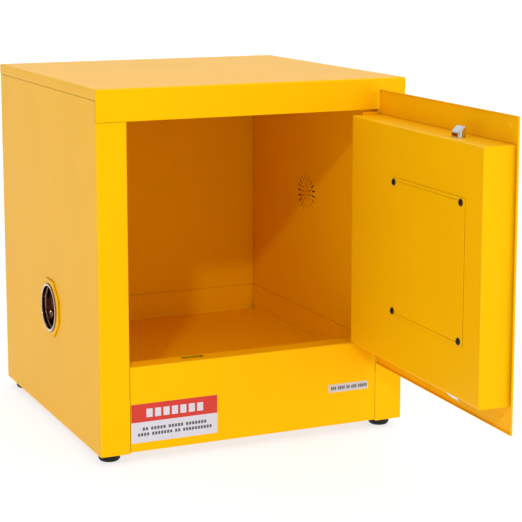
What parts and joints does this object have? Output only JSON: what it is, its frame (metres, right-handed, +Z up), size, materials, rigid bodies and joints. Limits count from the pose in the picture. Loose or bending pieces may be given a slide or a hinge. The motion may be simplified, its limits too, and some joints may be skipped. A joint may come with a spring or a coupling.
{
  "type": "flammable storage cabinet",
  "caption": "Small yellow steel safety cabinet for flammable liquids: double walls, sump, plugged side vents and a self-latching hinged door with a flush paddle handle.",
  "frame": {"origin": "middle of the bounding box's base with the door open at its rest angle: x = 0 is the cabinet's middle plane and z = 0 the surface it stands on", "axes": "+X to the right seen from the front, +Y from the door to the back, +Z up"},
  "size_m": [0.4433, 0.7833, 0.478],
  "materials": {
    "yellow_powder_coat": "satin powder coat with a fine orange peel",
    "zinc_plated_steel": "dull zinc plate",
    "bright_steel": "turned steel",
    "chrome_plate": "polished chrome plate",
    "black_screws": "black oxide",
    "black_plastic": "fine moulded grain",
    "black_rubber": "matt rubber",
    "brass": "plain brass",
    "caution_print": "printed film, red over white, plain bars in place of lettering",
    "white_print": "printed white film, plain ticks in place of lettering"
  },
  "bodies": {
    "cabinet": {"top_cover": "yellow_powder_coat", "left_side_panel": "yellow_powder_coat", "right_side_panel": "yellow_powder_coat", "back_panel": "yellow_powder_coat", "base_pan": "yellow_powder_coat", "lower_front_panel": "yellow_powder_coat", "header_channel": "yellow_powder_coat", "left_liner": "yellow_powder_coat", "right_liner": "yellow_powder_coat", "back_liner": "yellow_powder_coat", "liner_ceiling": "yellow_powder_coat", "sump_tray": "yellow_powder_coat", "sump_supports": "zinc_plated_steel", "left_vent_flange": "yellow_powder_coat", "right_vent_flange": "yellow_powder_coat", "vent_ducts": "zinc_plated_steel", "flame_arresters": "brass", "hinge_frame_leaf": "yellow_powder_coat", "hinge_pin": "bright_steel", "foot_nuts": "zinc_plated_steel", "caution_label": "caution_print", "serial_label": "white_print", "ground_stud": "brass", "ground_stud_nut": "brass"},
    "door": {"door_skin": "yellow_powder_coat", "door_inner_box": "yellow_powder_coat", "hinge_door_leaf": "yellow_powder_coat", "access_cover": "yellow_powder_coat", "access_cover_screws": "black_screws", "latch_housing": "black_plastic", "latch_housing_screws": "black_screws", "latch_backplate": "zinc_plated_steel", "latch_backplate_screws": "zinc_plated_steel", "rod_guides": "zinc_plated_steel", "top_bolt_spring": "bright_steel", "bottom_bolt_spring": "bright_steel", "paddle_pin": "bright_steel", "lock_body": "chrome_plate", "rotor_pivot": "bright_steel"},
    "handle": {"paddle": "black_plastic"},
    "lock": {"lock_core": "chrome_plate", "lock_cam": "zinc_plated_steel"},
    "rotor": {"latch_rotor": "bright_steel"},
    "upper_bolt": {"top_rod": "bright_steel", "top_bolt": "chrome_plate"},
    "lower_bolt": {"bottom_rod": "bright_steel", "bottom_bolt": "chrome_plate"},
    "front_left_leveller": {"front_left_foot": "black_rubber", "front_left_stud": "bright_steel"},
    "front_right_leveller": {"front_right_foot": "black_rubber", "front_right_stud": "bright_steel"},
    "back_left_leveller": {"back_left_foot": "black_rubber", "back_left_stud": "bright_steel"},
    "back_right_leveller": {"back_right_foot": "black_rubber", "back_right_stud": "bright_steel"},
    "left_seal": {"left_plug_gasket": "black_rubber"},
    "left_bung": {"left_plug": "chrome_plate"},
    "right_seal": {"right_plug_gasket": "black_rubber"},
    "right_bung": {"right_plug": "chrome_plate"}
  },
  "joints": [
    {"name": "door_hinge", "type": "hinge", "parent": "cabinet", "child": "door", "pos_m": [0.174, -0.04081, 0.281], "axis": [0, 0, 1], "range_deg": [-88, 82]},
    {"name": "paddle_pull", "type": "hinge", "parent": "door", "child": "handle", "pos_m": [0.16304, -0.28308, 0.3092], "axis": [-0.0349, -0.9994, 0], "range_deg": [0, 36], "stiffness_Nm_per_rad": 0.5, "springref_deg": -8.59},
    {"name": "rotor_turn", "type": "hinge", "parent": "door", "child": "rotor", "pos_m": [0.14856, -0.29658, 0.296], "axis": [-0.9994, 0.0349, 0], "range_deg": [0, 36]},
    {"name": "top_bolt_slide", "type": "slide", "parent": "door", "child": "upper_bolt", "axis": [0, 0, -1], "range_m": [0, 0.013], "stiffness_N_per_m": 20, "springref_m": -0.06, "deforming": ["top_bolt_spring"]},
    {"name": "bottom_bolt_slide", "type": "slide", "parent": "door", "child": "lower_bolt", "axis": [0, 0, 1], "range_m": [0, 0.013], "stiffness_N_per_m": 20, "springref_m": -0.01, "deforming": ["bottom_bolt_spring"]},
    {"name": "lock_turn", "type": "hinge", "parent": "door", "child": "lock", "pos_m": [0.16304, -0.28308, 0.222], "axis": [0.9994, -0.0349, 0], "range_deg": [0, 90]},
    {"name": "front_left_levelling", "type": "slide", "parent": "cabinet", "child": "front_left_leveller", "axis": [0, 0, -1], "range_m": [0, 0.01]},
    {"name": "front_right_levelling", "type": "slide", "parent": "cabinet", "child": "front_right_leveller", "axis": [0, 0, -1], "range_m": [0, 0.01]},
    {"name": "back_left_levelling", "type": "slide", "parent": "cabinet", "child": "back_left_leveller", "axis": [0, 0, -1], "range_m": [0, 0.01]},
    {"name": "back_right_levelling", "type": "slide", "parent": "cabinet", "child": "back_right_leveller", "axis": [0, 0, -1], "range_m": [0, 0.01]},
    {"name": "left_bung_out", "type": "slide", "parent": "cabinet", "child": "left_seal", "axis": [-1, 0, 0], "range_m": [0, 0.0089]},
    {"name": "left_bung_unscrew", "type": "hinge", "parent": "left_seal", "child": "left_bung", "pos_m": [-0.215, 0.16569, 0.1645], "axis": [-1, 0, 0], "range_deg": [0, 1440]},
    {"name": "right_bung_out", "type": "slide", "parent": "cabinet", "child": "right_seal", "axis": [1, 0, 0], "range_m": [0, 0.0089]},
    {"name": "right_bung_unscrew", "type": "hinge", "parent": "right_seal", "child": "right_bung", "pos_m": [0.215, 0.17739, 0.294], "axis": [1, 0, 0], "range_deg": [0, 1440]}
  ],
  "couplings": [
    {"joint": "rotor_turn", "follows": "paddle_pull", "ratio": 1},
    {"joint": "top_bolt_slide", "follows": "paddle_pull", "m_per_rad": 0.020688},
    {"joint": "bottom_bolt_slide", "follows": "paddle_pull", "m_per_rad": 0.020688},
    {"joint": "left_bung_out", "follows": "left_bung_unscrew", "m_per_rad": 0.00035014},
    {"joint": "right_bung_out", "follows": "right_bung_unscrew", "m_per_rad": 0.00035014}
  ]
}
